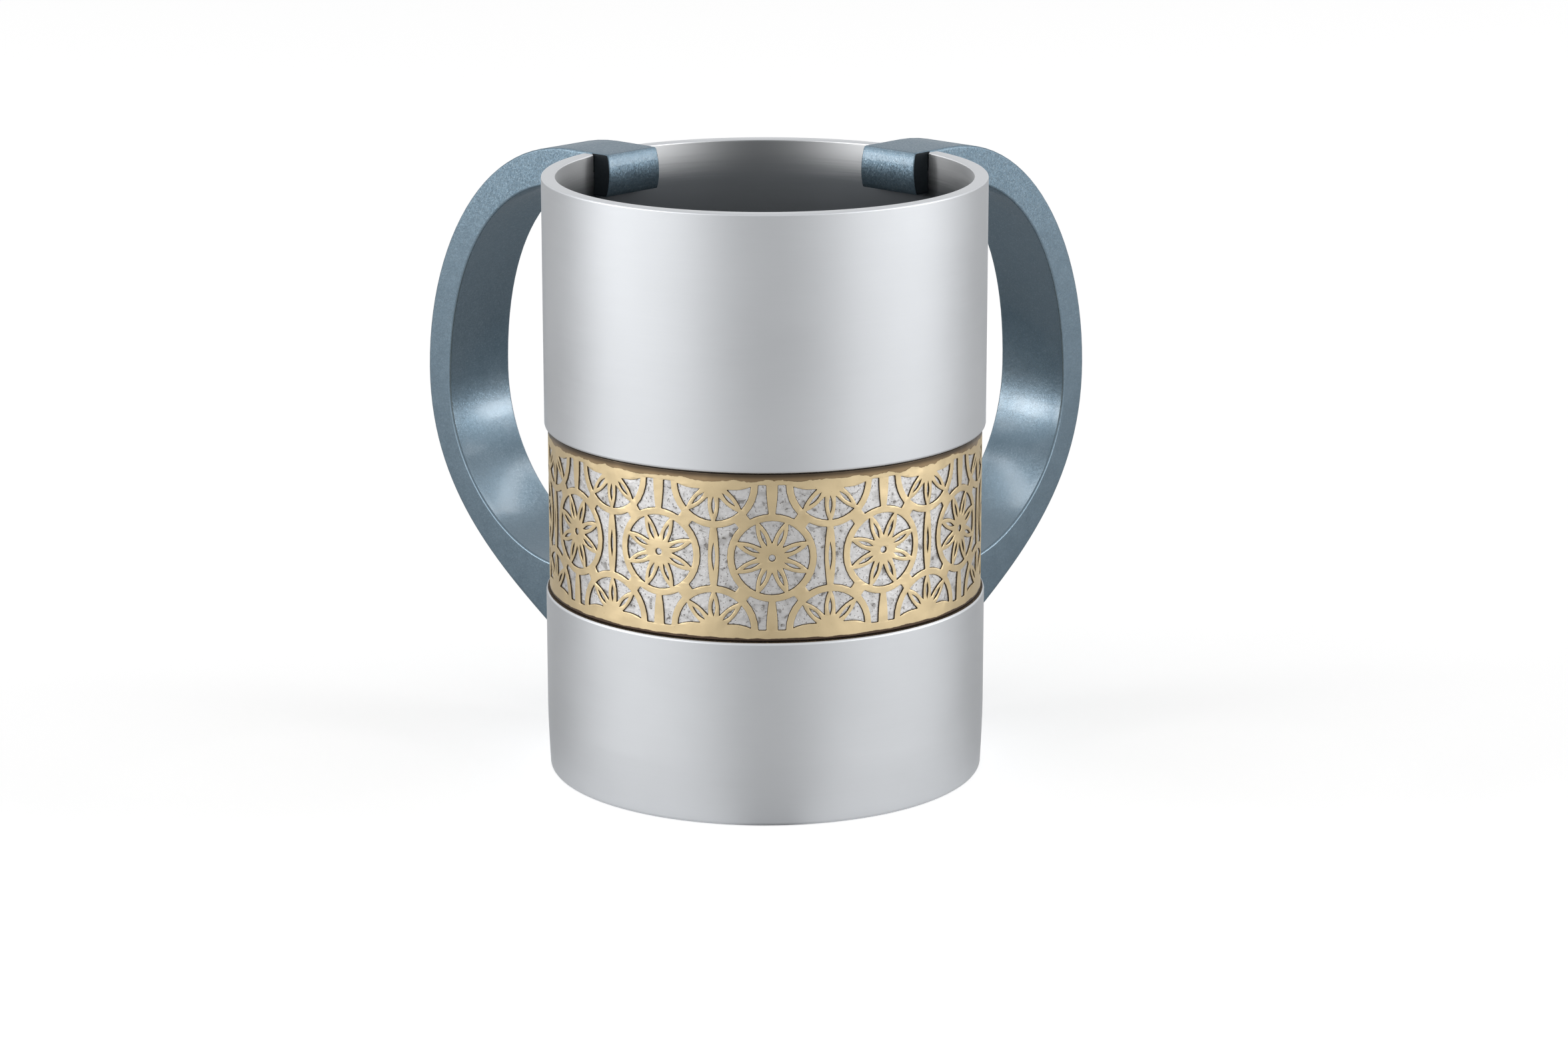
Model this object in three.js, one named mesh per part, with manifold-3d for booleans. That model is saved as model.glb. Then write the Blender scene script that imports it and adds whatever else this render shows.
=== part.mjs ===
// Two-handled washing cup, in millimetres, +Z up.
// The origin is on the cup's axis at its underside, and the front is towards -Y.
// The cup is a turned aluminium tube with a pressed-in bottom and an ornamental band of pierced brass
// over a silver sheet. Two C-shaped handles hook over notches in the rim at the back left and back right,
// and each is held at its lower end by a screw from inside the cup.

import * as THREE from 'three';
import { mergeGeometries, mergeVertices } from 'three/addons/utils/BufferGeometryUtils.js';
import Module from 'manifold-3d';

const wasm = await Module();
wasm.setup();

// Clearances and cutting
const FIT_GAP = 0.3; // between pieces that seat on or pass through each other
const SLEEVE_GAP = 0.08; // between concentric pressed or wrapped pieces
const OVERRUN = 1; // how far a cutting shape runs past what it cuts
const WELD = 0.0001; // vertices closer than this are one

// Cup wall
const CUP_RADIUS = 47.5;
const CUP_HEIGHT = 130;
const WALL = 3;
const FOOT_DRAW_IN = 0.5; // the foot is this much narrower than the wall
const FOOT_DRAW_HEIGHT = 14; // and widens out over this height
const FOOT_ROUND = 0.8;
const RIM_CHAMFER = 0.35;

// Ornamental band, let into a recess that is turned in the wall
const BAND_FOOT = 40; // height of the recess's lower edge
const BAND_HEIGHT = 36;
const BAND_INSET = 0.75; // the brass lies this deep inside the wall's face
const BAND_END_GAP = 0.3; // dark line above and below the brass
const BAND_EDGE_CHAMFER = 0.5;
const CUTWORK_SHEET = 0.6;
const UNDERLAY_SHEET = 0.35;

// Pierced ornament: a row of round rosettes along the middle, and half rosettes along both borders,
// half a pitch on. In each space between four rosettes stands an upright bud.
const REPEATS = 12;
const BORDER = 2.2; // plain strip along each edge of the brass
const MEETING_STRIP = 3.9; // between the openings of two neighbouring rosettes
const RING_STRIP = 1.4; // round each rosette
const ROSETTE_PETALS = 8;
const ROSETTE_HEART = 1.7; // radius of the plain middle
const PETAL_WIDTH = 2.3;
const PETAL_TIP_WIDTH = 0.7; // where a petal meets the ring
const PETAL_WAIST_SHARE = 0.45; // where a petal is widest, from the heart to the ring
const BUD_WIDTH = 2.3;
const BUD_TIP_WIDTH = 1.3; // where a bud meets the ring above it or below it
const CORNER_SOLID = 9; // degrees of a ring left solid beside each place where two rings meet

// Bottom of the cup: a disc with a flange below and a plug above, and a seal ring round the plug
const BASE_FLANGE = 2;
const BASE_PLUG = 4;
const BASE_STEP = 1.2; // how far the flange stands out past the bore
const BASE_EDGE_CHAMFER = 0.4;
const SEAL_SECTION = 1.8;

// Handles
const HANDLE_ANGLE = 45; // degrees from the side axis towards the back
const HANDLE_WIDTH = 19; // from its foot up to the lower end of its taper
const HANDLE_TOP_WIDTH = 15.2;
const TAPER_FOOT = 35; // the taper starts this far above the handle's lowest point at the wall
const HANDLE_REACH = 49.2; // from the wall's face to the outermost point
const HANDLE_PROUD = 0.3; // top above the rim
const HANDLE_FOOT = 14.7; // height at which the outer curve meets the wall
const HANDLE_FOOT_HEIGHT = 20.6;
const HANDLE_TOP_THICKNESS = 8.3;
const HANDLE_BELLY_THICKNESS = 6.9;
const HANDLE_EDGE_CHAMFER = 0.4;
const BRIDGE_THICKNESS = 4.2; // over the notch in the rim
const HOOK_REACH = 5.3; // inwards from the wall's bore
const HOOK_DROP = 9; // below the rim
const HOOK_BULGE = 1.2;
const CURVE_STEPS = 9; // on each of the two curves of an outline
const HOOK_STEPS = 4;

// Control points of the handle's outer outline, from its top at the wall down to its foot, as shares of
// its reach and of its height. The last one is where the straight stretch to the wall starts.
const OUTER_CURVE_SHARES = [
  [0.082, 1], [0.646, 1], [1, 0.768], [1, 0.523],
  [1, 0.294], [0.632, 0.175], [0.268, 0.074],
];
// The same for the finger opening, as shares of its own reach and height
const OPENING_CURVE_SHARES = [
  [0.112, 1], [0.629, 1], [1, 0.778], [1, 0.432],
  [1, 0.199], [0.609, 0.015], [0.189, 0.005],
];

// Screws that hold the handles' lower ends, and their sealing washers
const SCREW_RISE = 13.3; // above the handle's lowest point at the wall
const SCREW_RADIUS = 2;
const SCREW_REACH = 9; // past the wall's face into the handle
const SCREW_HEAD_RADIUS = 3.6;
const SCREW_HEAD_HEIGHT = 2.2;
const SCREW_HEAD_ROUND = 0.7;
const SCREW_TIP = 0.6;
const SOCKET_RADIUS = 1.4;
const SOCKET_DEPTH = 1.3;
const SEAL_WASHER_RADIUS = 4.3;
const SEAL_WASHER_THICKNESS = 1;

// How finely round pieces are divided
const CUP_SIDES = 60;
const SCREW_SIDES = 16;
const SOCKET_SIDES = 6;

// Sizes that follow from the ones above
const BORE_RADIUS = CUP_RADIUS - WALL;
const BAND_TOP = BAND_FOOT + BAND_HEIGHT;
const CUTWORK_RADIUS = CUP_RADIUS - BAND_INSET;
const UNDERLAY_RADIUS = CUTWORK_RADIUS - CUTWORK_SHEET - SLEEVE_GAP;
const RECESS_RADIUS = UNDERLAY_RADIUS - UNDERLAY_SHEET - SLEEVE_GAP;
const SEAT_RADIUS = BORE_RADIUS + BASE_STEP;
const FLANGE_RADIUS = SEAT_RADIUS - SLEEVE_GAP;
const PLUG_RADIUS = BORE_RADIUS - SLEEVE_GAP;
const FLOOR_HEIGHT = BASE_FLANGE + BASE_PLUG;
const NOTCH_FLOOR = CUP_HEIGHT + HANDLE_PROUD - BRIDGE_THICKNESS - FIT_GAP;
const SCREW_HEIGHT = HANDLE_FOOT + SCREW_RISE;
// A flat washer touches the round bore with its edge, so it seats this far from the axis
const WASHER_SEAT = Math.sqrt(BORE_RADIUS ** 2 - SEAL_WASHER_RADIUS ** 2) - FIT_GAP;
const HEAD_SEAT = WASHER_SEAT - SEAL_WASHER_THICKNESS - FIT_GAP;

// Welds a geometry's shared corners and drops the faces that the welding closes up
function weld(geometry) {
  const bare = geometry.clone();
  bare.deleteAttribute('normal');
  bare.deleteAttribute('uv');
  const welded = mergeVertices(bare, WELD);
  const corners = welded.index.array;
  const kept = [];
  for (let i = 0; i < corners.length; i += 3) {
    const [a, b, c] = corners.slice(i, i + 3);
    if (a !== b && b !== c && c !== a) kept.push(a, b, c);
  }
  welded.setIndex(kept);
  return welded;
}

function toSolid(geometry) {
  const welded = weld(geometry);
  return new wasm.Manifold(new wasm.Mesh({
    numProp: 3,
    vertProperties: new Float32Array(welded.attributes.position.array),
    triVerts: new Uint32Array(welded.index.array),
  }));
}

function toGeometry(solid) {
  const mesh = solid.getMesh();
  const geometry = new THREE.BufferGeometry();
  geometry.setAttribute('position', new THREE.BufferAttribute(new Float32Array(mesh.vertProperties), 3));
  geometry.setIndex(Array.from(mesh.triVerts));
  geometry.computeVertexNormals();
  return geometry;
}

// Turns an outline of [radius, height] points round the Z axis
function turned(outline, sides) {
  const profile = outline.map(([radius, height]) => new THREE.Vector2(radius, height));
  return new THREE.LatheGeometry(profile, sides).rotateX(Math.PI / 2);
}

// The same for an outline that closes on itself
function turnedRing(outline, sides) {
  return turned([...outline, outline[0]], sides);
}

// A plain tube between two radii and two heights
function tube(innerRadius, outerRadius, bottom, top, sides) {
  const outline = [[innerRadius, bottom], [outerRadius, bottom], [outerRadius, top], [innerRadius, top]];
  return turnedRing(outline, sides);
}

// A round bar along +X, from one distance to another
function radialBar(radius, from, to, sides) {
  const bar = new THREE.CylinderGeometry(radius, radius, to - from, sides);
  return bar.rotateZ(-Math.PI / 2).translate((from + to) / 2, 0, 0);
}

function material(colour, roughness, metalness) {
  return new THREE.MeshStandardMaterial({ color: colour, roughness, metalness });
}

function piece(name, geometry, finish) {
  const mesh = new THREE.Mesh(geometry, finish);
  mesh.name = name;
  return mesh;
}

// Each handle's direction round the cup, in radians from +X
const TO_RIGHT = THREE.MathUtils.degToRad(HANDLE_ANGLE);
const TO_LEFT = Math.PI - TO_RIGHT;

// The handle narrows towards its top, slowly at first
function handleWidthAt(height) {
  const foot = HANDLE_FOOT + TAPER_FOOT;
  const share = Math.max(0, (height - foot) / (CUP_HEIGHT + HANDLE_PROUD - foot));
  return HANDLE_WIDTH - (HANDLE_WIDTH - HANDLE_TOP_WIDTH) * share ** 2;
}

// The notch in the rim that one handle's upper end crosses, along +X
function notchCutter() {
  const depth = CUP_HEIGHT + OVERRUN - NOTCH_FLOOR;
  const width = handleWidthAt(NOTCH_FLOOR) + 2 * FIT_GAP;
  const cutter = new THREE.BoxGeometry(WALL + 2 * OVERRUN, width, depth);
  return cutter.translate(BORE_RADIUS + WALL / 2, 0, NOTCH_FLOOR + depth / 2);
}

// The hole in the wall for one handle's screw, along +X
function screwHoleCutter(to) {
  const from = WASHER_SEAT - OVERRUN;
  return radialBar(SCREW_RADIUS + FIT_GAP, from, to, SCREW_SIDES).translate(0, 0, SCREW_HEIGHT);
}

function cupWall() {
  const seatHeight = BASE_FLANGE + SLEEVE_GAP;
  const footRadius = CUP_RADIUS - FOOT_DRAW_IN;
  const outline = [
    [SEAT_RADIUS, 0],
    [footRadius - FOOT_ROUND, 0],
    [footRadius, FOOT_ROUND],
    [CUP_RADIUS, FOOT_DRAW_HEIGHT],
    [CUP_RADIUS, BAND_FOOT - BAND_EDGE_CHAMFER],
    [CUP_RADIUS - BAND_EDGE_CHAMFER, BAND_FOOT],
    [RECESS_RADIUS, BAND_FOOT],
    [RECESS_RADIUS, BAND_TOP],
    [CUP_RADIUS - BAND_EDGE_CHAMFER, BAND_TOP],
    [CUP_RADIUS, BAND_TOP + BAND_EDGE_CHAMFER],
    [CUP_RADIUS, CUP_HEIGHT - RIM_CHAMFER],
    [CUP_RADIUS - RIM_CHAMFER, CUP_HEIGHT],
    [BORE_RADIUS + RIM_CHAMFER, CUP_HEIGHT],
    [BORE_RADIUS, CUP_HEIGHT - RIM_CHAMFER],
    [BORE_RADIUS, seatHeight],
    [SEAT_RADIUS, seatHeight],
  ];
  let wall = toSolid(turnedRing(outline, CUP_SIDES));
  for (const angle of [TO_RIGHT, TO_LEFT]) {
    wall = wall.subtract(toSolid(notchCutter().rotateZ(angle)));
    wall = wall.subtract(toSolid(screwHoleCutter(CUP_RADIUS + OVERRUN).rotateZ(angle)));
  }
  return toGeometry(wall);
}

function baseDisc() {
  const grooveRadius = PLUG_RADIUS - SEAL_SECTION - SLEEVE_GAP;
  const grooveMiddle = BASE_FLANGE + BASE_PLUG / 2;
  const grooveHalf = SEAL_SECTION / 2 + SLEEVE_GAP;
  return turned([
    [0, 0],
    [FLANGE_RADIUS - BASE_EDGE_CHAMFER, 0],
    [FLANGE_RADIUS, BASE_EDGE_CHAMFER],
    [FLANGE_RADIUS, BASE_FLANGE],
    [PLUG_RADIUS, BASE_FLANGE],
    [PLUG_RADIUS, grooveMiddle - grooveHalf],
    [grooveRadius, grooveMiddle - grooveHalf],
    [grooveRadius, grooveMiddle + grooveHalf],
    [PLUG_RADIUS, grooveMiddle + grooveHalf],
    [PLUG_RADIUS, FLOOR_HEIGHT - BASE_EDGE_CHAMFER],
    [PLUG_RADIUS - BASE_EDGE_CHAMFER, FLOOR_HEIGHT],
    [0, FLOOR_HEIGHT],
  ], CUP_SIDES);
}

function baseSealRing() {
  const bottom = BASE_FLANGE + (BASE_PLUG - SEAL_SECTION) / 2;
  return tube(PLUG_RADIUS - SEAL_SECTION, PLUG_RADIUS, bottom, bottom + SEAL_SECTION, CUP_SIDES);
}

// Turns an outline of [round, up] points about zero, and then moves it to [x, y]
function placed(outline, x, y, angle) {
  const cos = Math.cos(angle);
  const sin = Math.sin(angle);
  return outline.map(([across, up]) => [x + across * cos - up * sin, y + across * sin + up * cos]);
}

function polar(radius, angle) {
  return [radius * Math.cos(angle), radius * Math.sin(angle)];
}

// The opening between two petals of a rosette, along +X from the rosette's middle
function betweenPetals(radius) {
  const half = Math.PI / ROSETTE_PETALS;
  const waist = ROSETTE_HEART + PETAL_WAIST_SHARE * (radius - ROSETTE_HEART);
  const waistAngle = half - Math.asin(PETAL_WIDTH / 2 / waist);
  const rimAngle = half - Math.asin(PETAL_TIP_WIDTH / 2 / radius);
  return [
    [ROSETTE_HEART, 0],
    polar(waist, -waistAngle),
    polar(radius, -rimAngle),
    polar(radius, rimAngle),
    polar(waist, waistAngle),
  ];
}

// The openings on the two sides of a bud, about the middle of the space between four rings. The rings
// beside it are at a distance of across, and those above and below it are at a distance of up.
function besideBud(ring, across, up) {
  const corner = THREE.MathUtils.degToRad(CORNER_SOLID);
  const meeting = Math.atan2(up, across);
  const onSideRing = (angle) => [across - ring * Math.cos(angle), ring * Math.sin(angle)];
  const onEndRing = (angle) => [ring * Math.sin(angle), ring * Math.cos(angle) - up];
  const budTip = onEndRing(Math.asin(BUD_TIP_WIDTH / 2 / ring));
  const budMiddle = [BUD_WIDTH / 2, 0];
  const endCorner = onEndRing(Math.PI / 2 - meeting - corner);
  const lowerHalf = [budMiddle, budTip, endCorner, onSideRing(corner - meeting), onSideRing(0)];
  const upperHalf = lowerHalf.slice(1, -1).reverse().map(([x, y]) => [x, -y]);
  return { lowerHalf, whole: [...lowerHalf, ...upperHalf] };
}

// The mirror image of an outline, across or up, with its points still in anticlockwise order
function mirrored(outline, across, up) {
  return outline.map(([x, y]) => [x * across, y * up]).reverse();
}

// Outlines of the openings in one repeat, round the middle of its rosette, as [round, up] points
function openingsOfOneRepeat() {
  const halfPitch = Math.PI * CUTWORK_RADIUS / REPEATS;
  const halfField = BAND_HEIGHT / 2 - BAND_END_GAP - BORDER;
  const rosette = (Math.hypot(halfPitch, halfField) - MEETING_STRIP) / 2;
  const step = 2 * Math.PI / ROSETTE_PETALS;
  const wedge = betweenPetals(rosette);
  const bud = besideBud(rosette + RING_STRIP, halfPitch, halfField);
  const outlines = [];
  for (let i = 0; i < ROSETTE_PETALS; i += 1) outlines.push(placed(wedge, 0, 0, i * step));
  for (let i = 0; i < ROSETTE_PETALS / 2; i += 1) {
    const angle = (i + 0.5) * step;
    outlines.push(placed(wedge, halfPitch, -halfField, angle));
    outlines.push(placed(wedge, halfPitch, halfField, -angle));
  }
  outlines.push(placed(bud.whole, halfPitch, 0, 0));
  outlines.push(placed(mirrored(bud.whole, -1, 1), halfPitch, 0, 0));
  outlines.push(placed(bud.lowerHalf, 0, halfField, 0));
  outlines.push(placed(mirrored(bud.lowerHalf, -1, 1), 0, halfField, 0));
  outlines.push(placed(mirrored(bud.lowerHalf, 1, -1), 0, -halfField, 0));
  outlines.push(placed(mirrored(mirrored(bud.lowerHalf, -1, 1), 1, -1), 0, -halfField, 0));
  return outlines;
}

// A prism through the brass, square to it at the opening's own middle
function openingCutter(outline, turn) {
  const middle = outline.reduce((sum, [x]) => sum + x, 0) / outline.length;
  const angle = turn + middle / CUTWORK_RADIUS;
  const shape = new THREE.Shape(outline.map(([x, y]) => new THREE.Vector2(x - middle, y)));
  const depth = CUTWORK_SHEET + 2 * OVERRUN;
  const prism = new THREE.ExtrudeGeometry(shape, { depth, bevelEnabled: false });
  const round = new THREE.Vector3(Math.cos(angle), Math.sin(angle), 0);
  const up = new THREE.Vector3(0, 0, 1);
  const outwards = new THREE.Vector3(Math.sin(angle), -Math.cos(angle), 0);
  const place = new THREE.Matrix4().makeBasis(round, up, outwards);
  prism.translate(0, 0, CUTWORK_RADIUS - CUTWORK_SHEET - OVERRUN).applyMatrix4(place);
  return prism.translate(0, 0, BAND_FOOT + BAND_HEIGHT / 2);
}

function goldCutworkBand() {
  const bottom = BAND_FOOT + BAND_END_GAP;
  const top = BAND_TOP - BAND_END_GAP;
  const sleeve = tube(CUTWORK_RADIUS - CUTWORK_SHEET, CUTWORK_RADIUS, bottom, top, CUP_SIDES);
  const outlines = openingsOfOneRepeat();
  const cutters = [];
  for (let i = 0; i < REPEATS; i += 1) {
    const turn = i * 2 * Math.PI / REPEATS;
    for (const outline of outlines) cutters.push(openingCutter(outline, turn));
  }
  return toGeometry(toSolid(sleeve).subtract(toSolid(mergeGeometries(cutters))));
}

function silverUnderlayBand() {
  const bottom = BAND_FOOT + BAND_END_GAP;
  const top = BAND_TOP - BAND_END_GAP;
  return tube(UNDERLAY_RADIUS - UNDERLAY_SHEET, UNDERLAY_RADIUS, bottom, top, CUP_SIDES);
}

// Points along the two cubic curves that seven control points make
function curvePoints(controls) {
  const [a, b, c, d, e, f, g] = controls.map(([x, y]) => new THREE.Vector2(x, y));
  const upper = new THREE.CubicBezierCurve(a, b, c, d).getPoints(CURVE_STEPS);
  const lower = new THREE.CubicBezierCurve(d, e, f, g).getPoints(CURVE_STEPS);
  return [...upper, ...lower.slice(1)].map(({ x, y }) => [x, y]);
}

// One handle's outline in its own plane, as [distance from the axis, height] points. It runs into the
// wall, which is cut out of it afterwards.
function handleOutline() {
  const top = CUP_HEIGHT + HANDLE_PROUD;
  const openingTop = top - HANDLE_TOP_THICKNESS;
  const openingFoot = HANDLE_FOOT + HANDLE_FOOT_HEIGHT;
  const openingReach = HANDLE_REACH - HANDLE_BELLY_THICKNESS;
  const wallMiddle = CUP_RADIUS - WALL / 2;
  const hookEnd = BORE_RADIUS - HOOK_REACH;
  const hookFoot = CUP_HEIGHT - HOOK_DROP;
  const outer = curvePoints(OUTER_CURVE_SHARES.map(([out, up]) => [
    CUP_RADIUS + out * HANDLE_REACH,
    HANDLE_FOOT + up * (top - HANDLE_FOOT),
  ]));
  const opening = curvePoints(OPENING_CURVE_SHARES.map(([out, up]) => [
    CUP_RADIUS + out * openingReach,
    openingFoot + up * (openingTop - openingFoot),
  ]));
  const hook = [];
  for (let i = 0; i <= HOOK_STEPS; i += 1) {
    const share = i / HOOK_STEPS;
    hook.push([hookEnd - HOOK_BULGE * Math.sin(Math.PI * share), hookFoot + share * (top - hookFoot)]);
  }
  return [
    ...outer.reverse(),
    ...hook.reverse(),
    [wallMiddle, hookFoot],
    [wallMiddle, openingTop],
    ...opening,
    [CUP_RADIUS, openingFoot],
    [wallMiddle, openingFoot],
    [wallMiddle, HANDLE_FOOT],
    [CUP_RADIUS, HANDLE_FOOT],
  ];
}

// Draws a straight-sided blank in to the handle's width at each height
function taperHandle(blank) {
  const corners = blank.attributes.position;
  for (let i = 0; i < corners.count; i += 1) {
    corners.setY(i, corners.getY(i) * handleWidthAt(corners.getZ(i)) / HANDLE_WIDTH);
  }
}

// One handle along +X, for the direction in which it will be turned
function handle(angle) {
  const shape = new THREE.Shape(handleOutline().map(([x, y]) => new THREE.Vector2(x, y)));
  const depth = HANDLE_WIDTH - 2 * HANDLE_EDGE_CHAMFER;
  const blank = new THREE.ExtrudeGeometry(shape, {
    depth,
    bevelEnabled: true,
    bevelSegments: 1,
    bevelThickness: HANDLE_EDGE_CHAMFER,
    bevelSize: HANDLE_EDGE_CHAMFER,
    bevelOffset: -HANDLE_EDGE_CHAMFER,
  });
  blank.rotateX(Math.PI / 2).translate(0, depth / 2, 0);
  taperHandle(blank);
  const wall = tube(
    BORE_RADIUS - FIT_GAP, CUP_RADIUS + FIT_GAP, -OVERRUN, NOTCH_FLOOR + FIT_GAP, CUP_SIDES,
  );
  const hole = screwHoleCutter(CUP_RADIUS + SCREW_REACH + FIT_GAP);
  return toGeometry(toSolid(blank).subtract(toSolid(wall.rotateZ(-angle))).subtract(toSolid(hole)));
}

// One screw along +X, its head inside the cup
function handleScrew() {
  const length = CUP_RADIUS + SCREW_REACH - HEAD_SEAT;
  const outline = [
    [0, -SCREW_HEAD_HEIGHT],
    [SCREW_HEAD_RADIUS - SCREW_HEAD_ROUND, -SCREW_HEAD_HEIGHT],
    [SCREW_HEAD_RADIUS, -SCREW_HEAD_HEIGHT + SCREW_HEAD_ROUND],
    [SCREW_HEAD_RADIUS, 0],
    [SCREW_RADIUS, 0],
    [SCREW_RADIUS, length - SCREW_TIP],
    [SCREW_RADIUS - SCREW_TIP, length],
    [0, length],
  ];
  const screw = turned(outline, SCREW_SIDES).rotateY(Math.PI / 2).translate(HEAD_SEAT, 0, SCREW_HEIGHT);
  const mouth = HEAD_SEAT - SCREW_HEAD_HEIGHT;
  const socket = radialBar(SOCKET_RADIUS, mouth - OVERRUN, mouth + SOCKET_DEPTH, SOCKET_SIDES);
  return toGeometry(toSolid(screw).subtract(toSolid(socket.translate(0, 0, SCREW_HEIGHT))));
}

function screwSeal() {
  const hole = SCREW_RADIUS + FIT_GAP;
  const washer = tube(hole, SEAL_WASHER_RADIUS, -SEAL_WASHER_THICKNESS, 0, SCREW_SIDES);
  return washer.rotateY(Math.PI / 2).translate(WASHER_SEAT, 0, SCREW_HEIGHT);
}

const anodisedAluminium = () => material(0xc3c5c8, 0.38, 1);
const polishedBrass = () => material(0xd8b878, 0.22, 1);
const dullSilver = () => material(0xa3a2a4, 0.6, 0.9);
const blueMetallicCoat = () => material(0x5f7f92, 0.45, 0.6);
const blackRubber = () => material(0x1c1c1d, 0.85, 0);
const stainlessSteel = () => material(0xb4b4b2, 0.35, 1);

const cup = new THREE.Group();
cup.add(piece('cup_wall', cupWall(), anodisedAluminium()));
cup.add(piece('base_disc', baseDisc(), anodisedAluminium()));
cup.add(piece('base_seal_ring', baseSealRing(), blackRubber()));
cup.add(piece('silver_underlay_band', silverUnderlayBand(), dullSilver()));
cup.add(piece('gold_cutwork_band', goldCutworkBand(), polishedBrass()));
for (const [side, angle] of [['left', TO_LEFT], ['right', TO_RIGHT]]) {
  const arm = new THREE.Group();
  arm.rotation.z = angle;
  arm.add(piece(`${side}_handle`, handle(angle), blueMetallicCoat()));
  arm.add(piece(`${side}_handle_screw`, handleScrew(), stainlessSteel()));
  arm.add(piece(`${side}_screw_seal`, screwSeal(), blackRubber()));
  cup.add(arm);
}

export default cup;
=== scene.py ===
# %% [markdown]
# # A two-handled washing cup
# This is a cup for ritual hand washing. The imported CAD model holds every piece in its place: a turned
# aluminium cup with a pressed-in bottom, a band of pierced brass over a silver sheet, and two coated handles
# that hook over the rim, with their screws. Here each piece gets its finished shape and its finish. All
# lengths are in metres, +Z is up, and the front looks towards -Y.

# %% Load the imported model
import math
from contextlib import contextmanager

import bpy
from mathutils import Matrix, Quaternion, Vector


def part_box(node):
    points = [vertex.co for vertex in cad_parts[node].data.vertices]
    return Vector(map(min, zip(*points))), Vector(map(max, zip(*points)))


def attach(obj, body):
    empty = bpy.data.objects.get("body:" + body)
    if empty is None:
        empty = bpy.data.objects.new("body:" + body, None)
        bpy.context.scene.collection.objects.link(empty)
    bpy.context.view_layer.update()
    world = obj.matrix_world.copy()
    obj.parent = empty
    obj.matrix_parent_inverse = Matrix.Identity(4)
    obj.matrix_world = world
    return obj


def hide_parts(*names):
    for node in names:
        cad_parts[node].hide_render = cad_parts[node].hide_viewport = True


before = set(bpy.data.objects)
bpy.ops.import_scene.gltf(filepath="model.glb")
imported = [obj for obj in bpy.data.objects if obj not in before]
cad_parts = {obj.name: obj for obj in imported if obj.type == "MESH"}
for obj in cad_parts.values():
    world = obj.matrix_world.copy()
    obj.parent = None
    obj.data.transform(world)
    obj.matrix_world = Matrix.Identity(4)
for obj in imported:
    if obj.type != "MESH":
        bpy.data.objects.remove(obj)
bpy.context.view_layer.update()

# %% [markdown]
# ## Camera
# The photograph was taken with a long lens from about 0.95 m away, looking down at the cup by some 14
# degrees. A camera aimed by hand would drift a little with each try, so this one is given a place, a point
# that it looks at and a focal length.

# %% Camera
CAMERA_PLACE = Vector((-0.02788, -0.91516, 0.29013))
CAMERA_AIM = Vector((0.00407, -0.00014, 0.05354))
FOCAL_LENGTH_MM = 100.22
SENSOR_WIDTH_MM = 36.0

view_direction = CAMERA_AIM - CAMERA_PLACE
towards_cup = view_direction.to_track_quat("-Z", "Y").to_euler()
bpy.ops.object.camera_add(location=CAMERA_PLACE, rotation=towards_cup)
camera = bpy.context.object
camera.data.lens = FOCAL_LENGTH_MM
camera.data.sensor_width = SENSOR_WIDTH_MM
bpy.context.scene.camera = camera
bpy.context.scene.view_settings.view_transform = "Standard"
print("camera stands", round(view_direction.length, 3), "m from the point it looks at")

# %% [markdown]
# ## Sums of shader nodes
# Most nodes of a finish only add or multiply, and adding each by hand takes several lines. Here one small
# class stands for what comes out of a node, so that plain Python sums add the Math nodes. One method makes
# every other kind of node from its settings and its inputs.

# %% Sums of shader nodes
class Flow:
    """A number, colour, vector or shader that comes out of a node."""

    def __init__(self, web, socket):
        self.web = web
        self.socket = socket

    def math(self, operation, first, second):
        return self.web.node("Math", {"operation": operation}, {0: first, 1: second})

    def __add__(self, other):
        return self.math("ADD", self, other)

    def __sub__(self, other):
        return self.math("SUBTRACT", self, other)

    def __rsub__(self, other):
        return self.math("SUBTRACT", other, self)

    def __mul__(self, other):
        return self.math("MULTIPLY", self, other)

    def __abs__(self):
        return self.math("ABSOLUTE", self, 0.0)

    __radd__ = __add__
    __rmul__ = __mul__

    def vector(self, operation, other=(0, 0, 0)):
        return self.web.node("VectorMath", {"operation": operation}, {0: self, 1: other})

    def axis(self, name):
        return self.web.node("SeparateXYZ", {}, {"Vector": self}, name)


class Web:
    """The nodes of one material or of the world."""

    def __init__(self, owner):
        owner.use_nodes = True
        self.tree = owner.node_tree
        self.tree.nodes.clear()

    def node(self, kind, settings, inputs, output=0):
        made = self.tree.nodes.new("ShaderNode" + kind)
        for name, value in settings.items():
            setattr(made, name, value)
        for name, value in inputs.items():
            socket = made.inputs[name]
            if isinstance(value, Flow):
                self.tree.links.new(value.socket, socket)
            else:
                socket.default_value = (*value, 1.0) if socket.type == "RGBA" else value
        return Flow(self, made.outputs[output]) if made.outputs else None

    def place(self):
        """Where a point of the surface lies, on its own object's axes."""
        return self.node("TexCoord", {}, {}, "Object")


# %% [markdown]
# ## Background
# The photograph's background is plain white. White light from all sides would wash the metal out, so only
# what the camera, the reflections and glass look at is white, and matt surfaces get a weaker fill.

# %% Background
WHITE = (1.0, 1.0, 1.0)
FILL_LEVEL = 0.35


def seen_directly(web, in_metal=1.0):
    """One for the camera, this share for a mirror or glass, and zero for the light that fills the room."""
    camera_ray, mirror_ray, glass_ray = [
        web.node("LightPath", {}, {}, name)
        for name in ("Is Camera Ray", "Is Glossy Ray", "Is Transmission Ray")
    ]
    return web.node("Clamp", {}, {"Value": camera_ray + in_metal * (mirror_ray + glass_ray)})


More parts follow.
